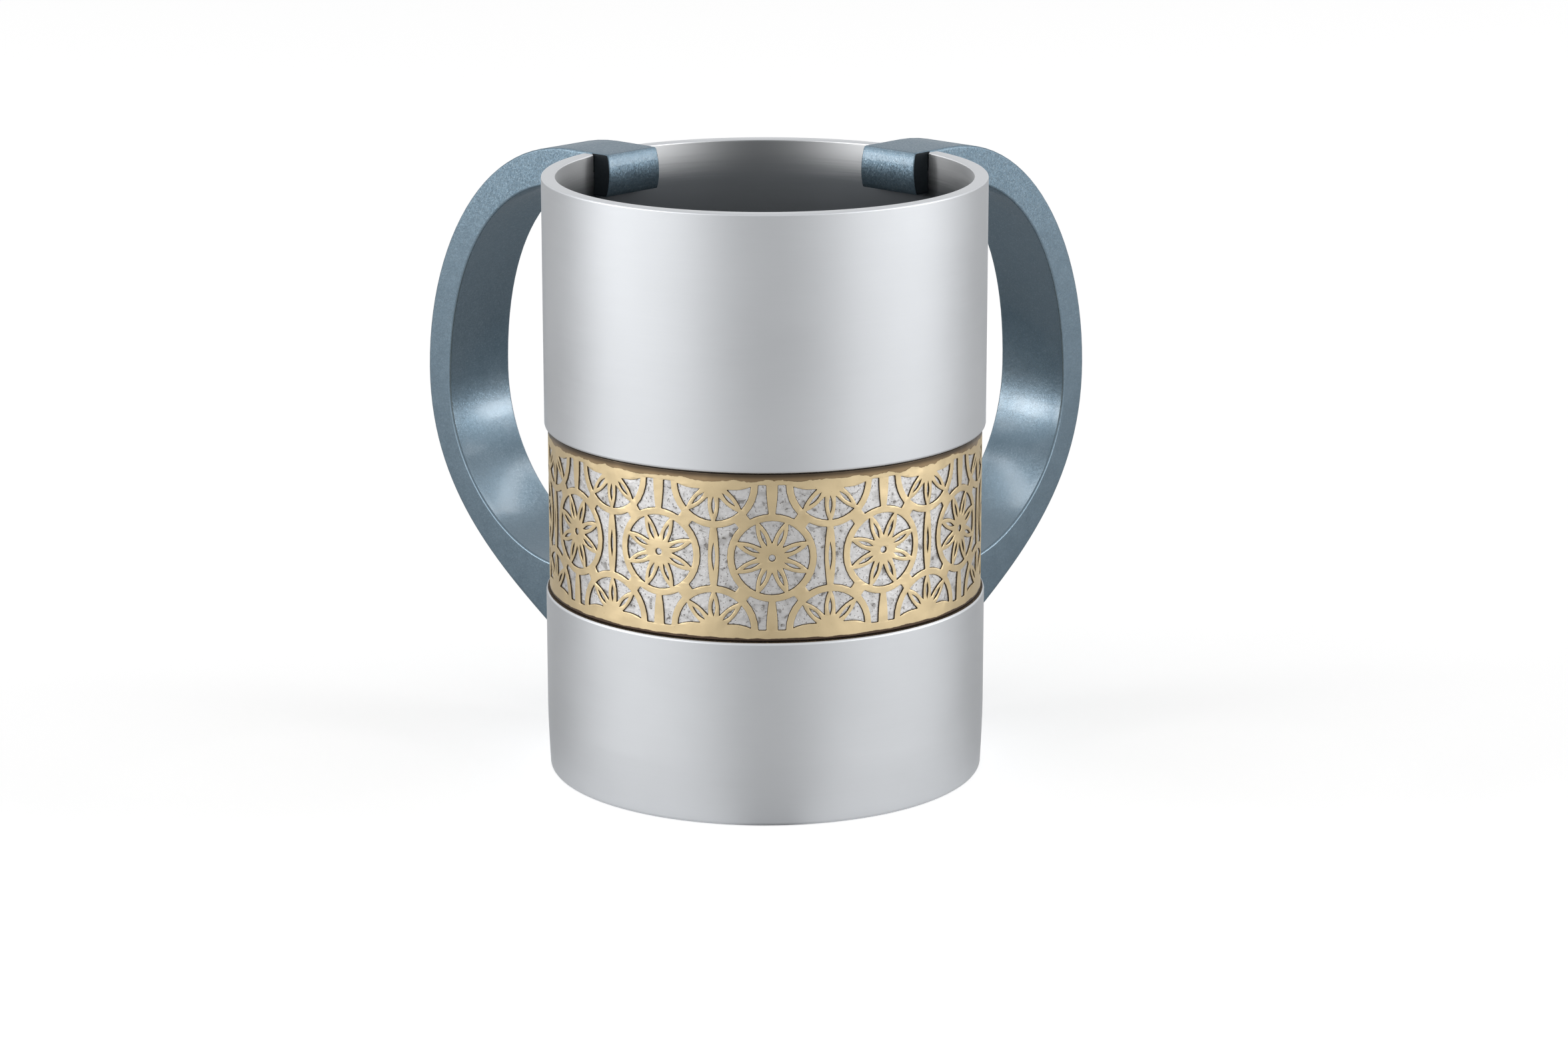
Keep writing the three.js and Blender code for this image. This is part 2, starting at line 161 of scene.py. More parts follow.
world = bpy.data.worlds.new("studio")
bpy.context.scene.world = world
web = Web(world)
fill = web.node("Background", {}, {"Color": WHITE, "Strength": FILL_LEVEL})
backdrop = web.node("Background", {}, {"Color": WHITE, "Strength": 1.0})
sky = web.node("MixShader", {}, {0: seen_directly(web), 1: fill, 2: backdrop})
web.node("OutputWorld", {}, {"Surface": sky})
print("background is white, fill level is", FILL_LEVEL)

# %% [markdown]
# ## Floor
# The cup stands on a wide pale table, as white as the wall behind it in the photograph, so a little white is
# added to it for the eye. The cup's two bright bands run down to its foot, so the metal sees that white only
# in two soft fans on the table, on the sides where the lamps stand. The cup's soft shadow still shows.

# %% Floor
FLOOR_COLOUR = (0.8, 0.8, 0.8)
FLOOR_LIFT = 0.52
FLOOR_IN_METAL = 0.75
FAN_DIRECTION = math.radians(66)  # from the front, to the left and right
FAN_SHIFT = (0, 0.03, 0)  # the fans meet this far in front of the cup's middle
FAN_EDGE = 0.52  # the cosines of how far from a fan's middle its white begins
FAN_HEART = 0.97  # and is full
FLOOR_SIZE = 12.0


def step(web, value, low, high):
    """Rises smoothly from zero to one while the value goes from low to high."""
    ends = {"Value": value, "From Min": low, "From Max": high}
    return web.node("MapRange", {"interpolation_type": "SMOOTHSTEP"}, ends)


def material_from(name, recipe):
    """A material whose surface is the shader that the recipe makes in its web."""
    material = bpy.data.materials.new(name)
    web = Web(material)
    web.node("OutputMaterial", {}, {"Surface": recipe(web)})
    print("material", name, "has", len(web.tree.nodes), "nodes")
    return material


def table_top(web):
    outwards = web.place().vector("ADD", FAN_SHIFT).vector("NORMALIZE")
    sideways, ahead = abs(outwards.axis("X")), 0.0 - outwards.axis("Y")
    along_fan = sideways * math.sin(FAN_DIRECTION) + ahead * math.cos(FAN_DIRECTION)
    in_metal = FLOOR_IN_METAL * step(web, along_fan, FAN_EDGE, FAN_HEART)
    matt = web.node("BsdfDiffuse", {}, {"Color": FLOOR_COLOUR})
    glow = web.node("Emission", {}, {"Color": WHITE, "Strength": FLOOR_LIFT})
    lifted = web.node("AddShader", {}, {0: matt, 1: glow})
    return web.node("MixShader", {}, {0: seen_directly(web, in_metal), 1: matt, 2: lifted})


bpy.ops.mesh.primitive_plane_add(size=FLOOR_SIZE)
floor = bpy.context.object
floor.name = "floor"
floor.data.materials.append(material_from("pale_table", table_top))
print("floor is", FLOOR_SIZE, "m wide")

# %% [markdown]
# ## Lamps
# Satin metal looks like what stands round it, and the cup has two broad bright bands. So on each side stand a
# wide soft lamp for the band, a small bright one for the spots inside the handles, and a long narrow strip,
# higher up and further back, for the slanting streaks on their lower ends. They stand far away, so that the
# table is lit evenly. Each is set by its radiance, where 1 is the white of paper.

# %% Lamps
LAMP_DISTANCE = 3.0
LAMP_AIM = Vector((0, 0, 0.06))


def soft_lamp(name, azimuth, elevation, width, height, radiance, lean=0):
    """A lamp that looks at the cup. Its azimuth in degrees is zero at the front and 90 at the right."""
    across, up = math.radians(azimuth), math.radians(elevation)
    away = Vector((math.sin(across) * math.cos(up), -math.cos(across) * math.cos(up), math.sin(up)))
    turn = (-away).to_track_quat("-Z", "Y") @ Quaternion((0, 0, 1), math.radians(lean))
    bpy.ops.object.light_add(
        type="AREA", location=LAMP_AIM + away * LAMP_DISTANCE, rotation=turn.to_euler(),
    )
    lamp = bpy.context.object
    lamp.name = name
    lamp.data.shape = "RECTANGLE"
    lamp.data.size = width
    lamp.data.size_y = height
    lamp.data.energy = radiance * math.pi * width * height
    print(name, "has", round(lamp.data.energy, 1), "W")


for side, sign, turn, wide, bright in (("left", -1, 67, 2.6, 10.5), ("right", 1, 71, 2.35, 8.8)):
    soft_lamp(f"{side}_wide_lamp", sign * turn, 14, width=3.6, height=1.45, radiance=wide)
    soft_lamp(f"{side}_bright_lamp", sign * 85, 8.5, width=0.55, height=0.45, radiance=bright)
    soft_lamp(f"{side}_strip_lamp", sign * 111, 43, width=1.7, height=0.25, radiance=5.0, lean=sign * 12)

# %% [markdown]
# ## Grain and finishes
# Every finish is made of the same few things: fine grain, stretched along the way that the tool ran, a soft
# step that turns grain into spots, and a bump. Image textures could hold these too, but procedural noise on
# Object coordinates stays sharp at any distance and needs no unwrapping. The numbers in the recipes are grain
# sizes and depths in metres, and shares that were tried until the render matched the photograph.

# %% Grain
def grain(web, size, stretch=(1, 1, 1), detail=2.0):
    """Noise from zero to one, with spots of about this size, made longer along each axis by its stretch."""
    scale = [1 / (size * longer) for longer in stretch]
    spread = web.node("Mapping", {}, {"Vector": web.place(), "Scale": scale})
    return web.node("TexNoise", {}, {"Vector": spread, "Scale": 1.0, "Detail": detail})


def blend(web, share, first, second):
    """A colour between two others."""
    return web.node("Mix", {"data_type": "RGBA"}, {0: share, 6: first, 7: second}, 2)


def bump(web, height, depth, strength):
    """Raises the surface by up to this depth, in metres, where the height is one."""
    return web.node("Bump", {}, {"Height": height, "Distance": depth, "Strength": strength})


def speckled(size, dark, light, roughness, uneven, depth, strength):
    """A recipe in which one grain drives the colour, the roughness and the bump."""
    def recipe(web):
        specks = grain(web, size, detail=3.0)
        return {
            "Base Color": blend(web, specks, dark, light),
            "Roughness": roughness + uneven * specks,
            "Normal": bump(web, specks, depth, strength),
        }
    return recipe


def finish(name, recipe, **constants):
    """A material whose Principled shader gets constants here, and what its recipe returns for its web."""
    inputs = {socket.replace("_", " "): value for socket, value in constants.items()}
    return material_from(name, lambda web: web.node("BsdfPrincipled", {}, inputs | recipe(web)))


# %% [markdown]
# ### Satin aluminium
# The cup is turned, blasted with fine beads and anodised, which leaves a pale satin skin with a fine grain
# and faint turning lines. Their noise is long round the cup and very short upwards, and on the bottom it
# follows the distance from the axis. Inside, a pale painted sheen lies just below the rim, on the left and
# the right. Deeper down and in the middle, painted shade darkens the bore more than the shadow alone does.

# %% Satin aluminium
ALUMINIUM_PALE = (0.56, 0.575, 0.595)
ALUMINIUM_DARK = (0.51, 0.525, 0.545)
RING_SIZE = 0.0004
# The bore's colours hold painted light: pale painted sheen at the sides, painted shade in the middle and
# below.
BORE_PAINTED_SHEEN = (0.8, 0.81, 0.82)
BORE_PAINTED_SHADE_MIDDLE = (0.29, 0.3, 0.31)
BORE_PAINTED_SHADE_DEEP_SIDES = (0.16, 0.172, 0.184)
BORE_PAINTED_SHADE_DEEP = (0.235, 0.25, 0.265)
BORE_SHEEN_HEIGHT = 0.1285  # the bore is palest above this height
BORE_SHADE_HEIGHT = 0.1205  # and as dark as it gets below this one
BORE_WAVER = 0.002  # how much the turning lines move both
BORE_SHADE_WIDTH = 0.027  # how far from the middle, to the left and right, the bore is dark


def satin(web, lines):
    """Satin aluminium with these turning lines."""
    blasting = grain(web, 0.0004, detail=3.0)
    clouds = grain(web, 0.02)
    return {
        "Base Color": blend(web, clouds * 0.6 + lines * 0.4, ALUMINIUM_DARK, ALUMINIUM_PALE),
        "Roughness": 0.39 + 0.06 * clouds + 0.05 * lines,
        "Normal": bump(web, blasting * 0.6 + lines * 0.4, 0.00002, 0.35),
    }


def turned_wall(web):
    return satin(web, grain(web, 0.0003, stretch=(40, 40, 1)))


def turned_bore_painted_light(web):
    lines = grain(web, 0.0005, stretch=(40, 40, 1))
    sockets = satin(web, lines)
    # painted sheen near the rim at the sides, painted shade in the middle and deeper down
    sheen_aside = step(web, abs(web.place().axis("X")), 0.0, BORE_SHADE_WIDTH)
    sheen_near_rim = step(web, web.place().axis("Z") + BORE_WAVER * (lines - 0.5), BORE_SHADE_HEIGHT, BORE_SHEEN_HEIGHT)
    upper = blend(web, sheen_aside, BORE_PAINTED_SHADE_MIDDLE, BORE_PAINTED_SHEEN)
    lower = blend(web, sheen_aside, BORE_PAINTED_SHADE_DEEP, BORE_PAINTED_SHADE_DEEP_SIDES)
    sockets["Base Color"] = blend(web, sheen_near_rim, lower, upper)
    return sockets


def turned_end(web):
    flat = web.place().vector("MULTIPLY", (1, 1, 0))
    radius = web.node("VectorMath", {"operation": "LENGTH"}, {0: flat}, "Value")
    rings = web.node(
        "TexNoise", {"noise_dimensions": "1D"}, {"W": radius, "Scale": 1 / RING_SIZE, "Detail": 3.0},
    )
    return satin(web, rings)


satin_wall = finish("anodised_wall", turned_wall, Metallic=1.0)
satin_bore_painted_light = finish("anodised_bore_painted_light", turned_bore_painted_light, Metallic=1.0)
satin_end = finish("anodised_end", turned_end, Metallic=1.0)

# %% [markdown]
# ### Polished brass
# The brass is pale gold and polished by hand, so its reflections swim a little and its shine comes and goes:
# long shallow bumps and clouds in the roughness. A painted ragged brown strip along each border stands for
# the dark reflection of a rolled-over edge, broad at the top, where painted shade darkens it upwards, and
# narrow at the foot. The polished skin ends at it in a small step that catches the light. The cut edges are
# dark brown from the acid.

# %% Polished brass
BRASS_LIGHT = (0.61, 0.492, 0.304)
BRASS_DEEP = (0.45, 0.34, 0.19)
# painted reflection and painted shade of the brass's rolled-over borders
BRASS_PAINTED_EDGE_REFLECTION = (0.3, 0.215, 0.125)
BRASS_PAINTED_EDGE_SHADE = (0.09, 0.068, 0.048)
BRASS_PAINTED_FOOT_REFLECTION = (0.09, 0.062, 0.045)
BRASS_CUT = (0.035, 0.025, 0.018)
BRASS_CUT_WORN = (0.22, 0.155, 0.085)
TOP_PAINTED_STRIP = 0.0013  # how far the brown strips reach in from the band's ends
FOOT_PAINTED_STRIP = 0.00045
PAINTED_STRIP_EDGE = 0.0001  # how wide their ragged edge is


def polished(web):
    height = web.place().axis("Z")
    low, high = [corner.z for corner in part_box("gold_cutwork_band")]
    waves = grain(web, 0.006, detail=1.0)
    clouds = grain(web, 0.005, detail=3.0)
    ragged = grain(web, 0.004, detail=3.0)
    tarnish = step(web, clouds, 0.55, 0.8)
    specks = step(web, grain(web, 0.0005), 0.7, 0.76)
    # The brown strips are painted: the dark reflection of a rolled-over edge, with painted shade darker
    # upwards.
    top_painted_strip, foot_painted_strip = [
        step(web, depth + 2 * reach * (ragged - 0.5), reach + PAINTED_STRIP_EDGE, reach)
        for depth, reach in ((high - height, TOP_PAINTED_STRIP), (height - low, FOOT_PAINTED_STRIP))
    ]
    gold = blend(web, 0.4 * tarnish + 0.5 * specks, BRASS_LIGHT, BRASS_DEEP)
    painted_edge_reflection = blend(web, step(web, high - height, 0.0002, TOP_PAINTED_STRIP), BRASS_PAINTED_EDGE_SHADE, BRASS_PAINTED_EDGE_REFLECTION)
    above_foot = blend(web, top_painted_strip, gold, painted_edge_reflection)
    return {
        "Base Color": blend(web, foot_painted_strip, above_foot, BRASS_PAINTED_FOOT_REFLECTION),
        "Roughness": 0.38 + 0.1 * waves + 0.15 * specks - 0.12 * top_painted_strip,
        "Normal": bump(web, waves + 0.3 * clouds - 0.7 * top_painted_strip, 0.0005, 0.8),
    }


# Dark brown for the etched cut edges, and also for the painted shade in the recess and under the brass.
def cut_edge_and_painted_shade(web):
    crust = grain(web, 0.0004, detail=3.0)
    return {
        "Base Color": blend(web, step(web, crust, 0.4, 0.8), BRASS_CUT, BRASS_CUT_WORN),
        "Roughness": 0.5 + 0.3 * crust,
        "Normal": bump(web, crust, 0.00005, 0.5),
    }


brass = finish("polished_brass", polished, Metallic=1.0)
brass_edge_and_painted_shade = finish("etched_brass_edge_and_painted_shade", cut_edge_and_painted_shade, Metallic=0.6)

# %% [markdown]
# ### Dull silver
# The sheet behind the brass is dull, with small dark specks of oxide, larger stains and fine scratches.
# Grains of different sizes, each cut off high, give specks that don't repeat, and a broader one makes the
# sheet darker and paler from place to place.

# %% Dull silver
SILVER = (0.64, 0.635, 0.635)
SILVER_STAIN = (0.2, 0.19, 0.18)


def oxidised(web):
    clouds = grain(web, 0.0022, detail=5.0)
    mottling = grain(web, 0.0007, detail=3.0)
    specks = step(web, grain(web, 0.0005, detail=1.0), 0.63, 0.7)
    pits = step(web, grain(web, 0.0011, detail=0.0), 0.7, 0.74)
    scratches = step(web, grain(web, 0.00025, stretch=(10, 10, 1)), 0.62, 0.74)
    stains = step(web, clouds, 0.45, 0.75)
    dark = 0.45 * stains + 0.25 * mottling + 0.5 * specks + 0.4 * pits + 0.3 * scratches
    covered = web.node("Clamp", {}, {"Value": dark})
    return {
        "Base Color": blend(web, covered, SILVER, SILVER_STAIN),
        "Roughness": 0.4 + 0.15 * clouds + 0.2 * specks,
        "Normal": bump(web, clouds + mottling - specks, 0.00012, 0.6),
    }


silver = finish("dull_silver", oxidised, Metallic=1.0)

# %% [markdown]
# ### Blue flake coat
# The handles carry a satin slate-blue coat full of tiny metal flakes, each at its own angle. Small cells with
# a random colour stand for them. One part of that colour makes a few of them pale, and all of it, taken as a
# direction, tilts the surface a little. The flakes show plainly round the hooks and hardly lower down, so
# they grow stronger towards the top. A thin clear coat sharpens the sheen, and wears thinner there. Inside
# the cup, on the hooks' sides, the coat is dull and painted almost black: painted shade.

# %% Blue flake coat
COAT_BLUE = (0.11, 0.164, 0.209)
COAT_PALE = (0.27, 0.34, 0.39)
# painted shade: the near-black coat on the hooks' sides inside the cup
COAT_SHADED = (0.008, 0.011, 0.014)
COAT_SHADED_PALE = (0.02, 0.026, 0.032)
COAT_SIDEWAYS = (0.45, 0.52, 0.58)  # what the coat reflects at a low angle
FLAKE_SIZE = 0.00028
FLAKE_TILT = 0.13
FLAKE_CALM = 0.42  # how strong the flakes are low down, next to the top
FLAKES_FROM = 0.1
FLAKES_UP = 0.122


def flaked(web):
    near_top = step(web, web.place().axis("Z"), FLAKES_FROM, FLAKES_UP)
    strength = FLAKE_CALM + (1 - FLAKE_CALM) * near_top
    cells = {"Vector": web.place(), "Scale": 1 / FLAKE_SIZE}
    flakes = web.node("TexVoronoi", {}, cells, "Color")
    shade, shine = [web.node("SeparateColor", {}, {"Color": flakes}, part) for part in ("Red", "Green")]
    sparks = step(web, shine, 0.8, 0.95)
    clouds = grain(web, 0.004, detail=3.0)
    pale = strength * (0.26 * shade - 0.13 + 0.3 * sparks) + 0.15 * clouds + 0.06
    around = flakes.vector("SUBTRACT", (0.5, 0.5, 0.5))
    tilt = web.node("VectorMath", {"operation": "SCALE"}, {0: around, "Scale": FLAKE_TILT * strength})
    upright = bump(web, grain(web, 0.0009), 0.00004, 0.4)
    return {
        "Base Color": blend(web, pale, COAT_BLUE, COAT_PALE),
        "Roughness": 0.27 + 0.1 * clouds + 0.1 * near_top,
        "Coat Weight": 0.55 - 0.3 * near_top,
        "Normal": upright.vector("ADD", tilt).vector("NORMALIZE"),
    }


def shaded(web):
    dust = grain(web, 0.0006, detail=3.0)
    return {
        "Base Color": blend(web, dust, COAT_SHADED, COAT_SHADED_PALE),
        "Roughness": 0.5 + 0.2 * dust,
    }


coat = finish("blue_flake_coat", flaked, Metallic=0.8, Coat_Roughness=0.14, Specular_Tint=COAT_SIDEWAYS)
coat_shaded = finish("blue_coat_in_shade", shaded, Specular_IOR_Level=0.1)

# %% [markdown]
# ### Rubber and steel
# The seals are plain black rubber and the screws bare turned steel. Both are small, and one kind of recipe
# is enough for them.

# %% Rubber and steel
RUBBER_BLACK = (0.012, 0.012, 0.013)
RUBBER_DUSTY = (0.035, 0.035, 0.036)
STEEL_LIGHT = (0.62, 0.61, 0.6)
STEEL_DARK = (0.42, 0.41, 0.4)

moulded = speckled(0.0005, RUBBER_BLACK, RUBBER_DUSTY, 0.7, 0.2, depth=0.00004, strength=0.5)
turned_steel = speckled(0.00045, STEEL_DARK, STEEL_LIGHT, 0.22, 0.15, depth=0.00001, strength=0.4)
rubber = finish("black_rubber", moulded)
steel = finish("stainless_steel", turned_steel, Metallic=1.0)

# %% [markdown]
# ## Picking faces and edges
# Every shape below is made as by hand: a simple solid is added, some of its faces or edges are changed in
# edit mode, and other shapes are cut out of it. Faces and edges are picked by their place and direction, so
# that the steps don't depend on how Blender numbers them.

# %% Picking faces and edges
ALONG = 0.9  # the part of a direction that lies along an axis, where it nearly follows the axis
ACROSS = 0.1  # and where it nearly crosses it


def only(piece):
    """Selects one piece and nothing else."""
    bpy.ops.object.select_all(action="DESELECT")
    piece.select_set(True)
    bpy.context.view_layer.objects.active = piece


def located(mesh, kind):
    """Yields each edge or face of a mesh with its middle and its direction."""
    if kind == "EDGE":
        for edge in mesh.edges:
            start, end = [mesh.vertices[i].co for i in edge.vertices]
            yield edge, (start + end) / 2, (end - start).normalized()
    else:
        for face in mesh.polygons:
            yield face, face.center, face.normal


@contextmanager
def editing(piece, kind, test):
    """Edit mode, with the edges or faces selected for which test(middle, direction) is true."""
    only(piece)
    mesh = piece.data
    for parts in (mesh.vertices, mesh.edges, mesh.polygons):
        parts.foreach_set("select", [False] * len(parts))
    for part, middle, direction in located(mesh, kind):
        part.select = test(middle, direction)
    bpy.context.tool_settings.mesh_select_mode = (False, kind == "EDGE", kind == "FACE")
    bpy.ops.object.mode_set(mode="EDIT")
    yield
    bpy.ops.object.mode_set(mode="OBJECT")


def everything(middle, direction):
    return True


def cylinder(sides, radius, height, middle, **settings):
    """A cylinder whose place and turn are kept in its mesh."""
    bpy.ops.mesh.primitive_cylinder_add(
        vertices=sides, radius=radius, depth=height, location=middle, **settings,
    )
    bpy.ops.object.transform_apply()
    return bpy.context.object


# %% [markdown]
# ## Shaping tools
# A few more tools are needed for the pieces themselves. They slice across a piece, apply a modifier, cut one
# shape out of another, or push faces in. The last one smooths a piece and names the CAD nodes it stands for.

# %% Shaping tools
SMOOTH_ANGLE = math.radians(32)
SAME_PLACE = 0.000001  # points nearer to each other than this are one point


def spaced(start, end, steps):
    """Numbers at equal steps from start to end, both included."""
    return [start + (end - start) * i / steps for i in range(steps + 1)]


def sliced(piece, normal, places, **settings):
    """Cuts across a piece at each place along a direction, and parts it only if the settings say so."""
    with editing(piece, "FACE", everything):
        for place in places:
            bpy.ops.mesh.select_all(action="SELECT")
            bpy.ops.mesh.bisect(plane_co=Vector(normal) * place, plane_no=normal, **settings)


def tube(outer, inner, low, high, sides):
    """A round tube about the Z axis."""
    piece = cylinder(sides, outer, high - low, (0, 0, (low + high) / 2), end_fill_type="NOTHING")
    return modified(piece, "SOLIDIFY", thickness=outer - inner, offset=-1.0, use_even_offset=True)


def modified(piece, kind, **settings):
    """Adds a modifier, sets it and applies it."""
    only(piece)
    bpy.ops.object.modifier_add(type=kind)
    modifier = piece.modifiers[-1]
    for name, value in settings.items():
        setattr(modifier, name, value)
    bpy.ops.object.modifier_apply(modifier=modifier.name)
    return piece


def merged(piece, reach):
    """Makes one point of those that lie within this reach of each other, and turns all faces outwards."""
    with editing(piece, "FACE", everything):
        bpy.ops.mesh.remove_doubles(threshold=reach)
        bpy.ops.mesh.normals_make_consistent(inside=False)
    return piece


def cut(piece, cutter):
    """Takes the cutter's shape out of a piece."""
    modified(piece, "BOOLEAN", operation="DIFFERENCE", object=cutter, solver="EXACT")
    bpy.data.objects.remove(cutter)
    assert len(piece.data.polygons) > 0, "nothing is left of the piece"
    return merged(piece, SAME_PLACE)


def pushed(piece, test, start, end):
    """Pushes the faces that the test picks from one radius to another, with new walls behind them."""
    with editing(piece, "FACE", test):
        bpy.ops.mesh.extrude_region()
        share = end / start
        bpy.ops.transform.resize(value=(share, share, 1), center_override=(0, 0, 0))


def turned(piece, axis, angle):
    """Turns a piece about an axis and keeps its place and its turn in its mesh."""
    only(piece)
    setattr(piece.rotation_euler, axis, angle)
    bpy.ops.object.transform_apply()
    return piece


def painted(piece, materials, choice=lambda face: 0):
    """Gives a piece its materials, and each face the one whose number the choice returns."""
    piece.data.materials.clear()
    for material in materials:
        piece.data.materials.append(material)
    for face in piece.data.polygons:
        face.material_index = int(choice(face))
    return piece


def finished(piece, name, slot, *nodes):
    """Smooths a piece, names it and lets it stand for its CAD nodes."""
    only(piece)
    bpy.ops.object.shade_smooth_by_angle(angle=SMOOTH_ANGLE)
    modified(piece, "WEIGHTED_NORMAL", keep_sharp=True)
    piece.name = name
    piece.data.name = name
    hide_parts(*nodes)
    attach(piece, "root")
    print(name, "has", len(piece.data.polygons), "faces")
    return piece


# %% [markdown]
# ## The cup's wall
# On the real cup the wall is a length of tube, turned down where the band lies. It could be spun from a
# profile, but a tube that is sliced, pushed in and bevelled follows the workshop's own steps.

# %% The cup's wall
CUP_SIDES = 240
UP = (0, 0, 1)
WALL = 0.003
BAND_END_GAP = 0.0003
BAND_EDGE_ROUND = 0.0006
RIM_ROUND = 0.0004
SHEET_CLEARANCE = 0.00008
BRASS_SHEET = 0.00026
CAD_SILVER_SHEET = 0.00035

cup_radius, _, cup_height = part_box("cup_wall")[1]
bore_radius = cup_radius - WALL
brass_low, brass_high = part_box("gold_cutwork_band")
band_foot = brass_low.z - BAND_END_GAP
band_top = brass_high.z + BAND_END_GAP
brass_radius = brass_high.x
silver_radius = brass_radius - BRASS_SHEET - SHEET_CLEARANCE
recess_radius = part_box("silver_underlay_band")[1].x - CAD_SILVER_SHEET - SHEET_CLEARANCE

wall = tube(cup_radius, bore_radius, 0, cup_height, CUP_SIDES)
sliced(wall, UP, [band_foot, band_top])


def outward(middle, direction):
    """How much a face looks away from the cup's axis, from minus one to one."""
    return direction.xy.dot(middle.xy.normalized())


def on_recess(middle, direction):
    return outward(middle, direction) > ALONG and band_foot < middle.z < band_top


pushed(wall, on_recess, cup_radius, recess_radius)
print("recess is", round(1000 * (cup_radius - recess_radius), 2), "mm deep")

# %% [markdown]
# The foot draws in a little, as the end of a turned tube does when its edge is eased. Extra rings are sliced
# in there, and each is scaled by its own small amount.

# %% The foot
FOOT_HEIGHT = 0.014
FOOT_DRAW_IN = 0.0005
FOOT_CURVE = 1.5
FOOT_ROUND = 0.0008
FOOT_RINGS = 5

sliced(wall, UP, spaced(0, FOOT_HEIGHT, FOOT_RINGS)[1:])
for point in wall.data.vertices:
    if point.co.z < FOOT_HEIGHT and point.co.xy.length > bore_radius + WALL / 2:
        drawn = FOOT_DRAW_IN * (1 - point.co.z / FOOT_HEIGHT) ** FOOT_CURVE
        point.co.xy *= 1 - drawn / cup_radius
print("foot radius is", round(1000 * (cup_radius - FOOT_DRAW_IN), 2), "mm")

# %% [markdown]
# The bottom of the cup is pressed in from below, against a step in the bore. The step is made like the
# recess: the faces below it are pushed outwards.

# %% The seat of the bottom
SEAT_STEP = 0.0012
BASE_FLANGE = 0.002
SEAT_HEIGHT = BASE_FLANGE + SHEET_CLEARANCE

sliced(wall, UP, [SEAT_HEIGHT])


def on_seat(middle, direction):
    return outward(middle, direction) < -ALONG and middle.z < SEAT_HEIGHT


pushed(wall, on_seat, bore_radius, bore_radius + SEAT_STEP)
print("seat is", round(1000 * SEAT_STEP, 2), "mm deep")

# %% [markdown]
# Hand-finished metal has no sharp edge. The rim, the foot and the two shoulders of the band are bevelled,
# and the thin bright lines of the photograph are these bevels in the light.

# %% Rounded edges of the wall
EDGE_REACH = 0.0002


def ring_edge(height, radius):
    """A test for the edges that run round the cup at this height and radius."""
    def test(middle, direction):
        off = max(abs(middle.z - height), abs(middle.xy.length - radius))
        return off < EDGE_REACH and abs(direction.z) < ACROSS
    return test


def rounded(piece, test, amount, segments):
    with editing(piece, "EDGE", test):
        bpy.ops.mesh.bevel(offset=amount, offset_type="OFFSET", segments=segments, affect="EDGES")


for radius in (cup_radius, bore_radius):
    rounded(wall, ring_edge(cup_height, radius), RIM_ROUND, 3)
rounded(wall, ring_edge(0, cup_radius - FOOT_DRAW_IN), FOOT_ROUND, 4)
for height in (band_foot, band_top):
    rounded(wall, ring_edge(height, cup_radius), BAND_EDGE_ROUND, 3)
print("wall has", len(wall.data.polygons), "faces before its notches")

# %% [markdown]
# Each handle crosses the rim in a notch, and its screw passes through a hole near the foot. A box and a bar
# take these out of the wall, as a mill and a drill would.

# %% Notches and holes
HANDLE_ANGLES = {"right": math.radians(45), "left": math.radians(135)}
HANDLE_PROUD = 0.0003
HANDLE_WIDTH = 0.019
HANDLE_TOP_WIDTH = 0.0152
HANDLE_FOOT = 0.0147
TAPER_FOOT = HANDLE_FOOT + 0.035
BRIDGE_THICKNESS = 0.0042
NOTCH_GAP = 0.0001
BAR_SIDES = 48
SCREW_HEIGHT = HANDLE_FOOT + 0.0133
SCREW_RADIUS = 0.002
HOLE_GAP = 0.0003

handle_top = cup_height + HANDLE_PROUD
notch_floor = handle_top - BRIDGE_THICKNESS - NOTCH_GAP


def handle_width_at(height):
    """The handle narrows towards its top, slowly at first."""
    share = max(0, (height - TAPER_FOOT) / (handle_top - TAPER_FOOT))
    return HANDLE_WIDTH - (HANDLE_WIDTH - HANDLE_TOP_WIDTH) * share ** 2


def bar(radius, start, end, height, sides=BAR_SIDES):
    """A round bar along the X axis."""
    middle = ((start + end) / 2, 0, height)
    return cylinder(sides, radius, end - start, middle, rotation=(0, math.pi / 2, 0))


for angle in HANDLE_ANGLES.values():
    notch_height = 2 * (cup_height - notch_floor)
    bpy.ops.mesh.primitive_cube_add(size=1, location=(cup_radius, 0, notch_floor + notch_height / 2))
    notch = bpy.context.object
    notch.scale = (4 * WALL, handle_width_at(notch_floor) + 2 * NOTCH_GAP, notch_height)
    bpy.ops.object.transform_apply()
    cut(wall, turned(notch, "z", angle))
    hole = bar(SCREW_RADIUS + HOLE_GAP, bore_radius - WALL, cup_radius + WALL, SCREW_HEIGHT)
    cut(wall, turned(hole, "z", angle))
print("wall has", len(wall.data.polygons), "faces")

# %% [markdown]
# The wall gets three finishes: satin outside, the bore with its painted sheen and shade inside, and dark
# brown painted shade on all of the recess, which makes the thin dark lines above and below the band.

# %% Finishes of the wall
RECESS_SHADE_REACH = 0.0001


def wall_finish(face):
    if outward(face.center, face.normal) < -ALONG:
        return 1
    # the recess and the bevels beside it get the dark brown painted shade
    in_height = band_foot - RECESS_SHADE_REACH < face.center.z < band_top + RECESS_SHADE_REACH
    return 2 if in_height and face.center.xy.length > bore_radius + RECESS_SHADE_REACH else 0


painted(wall, [satin_wall, satin_bore_painted_light, brass_edge_and_painted_shade], wall_finish)
finished(wall, "turned_cup_wall", "anodised_aluminium", "cup_wall")

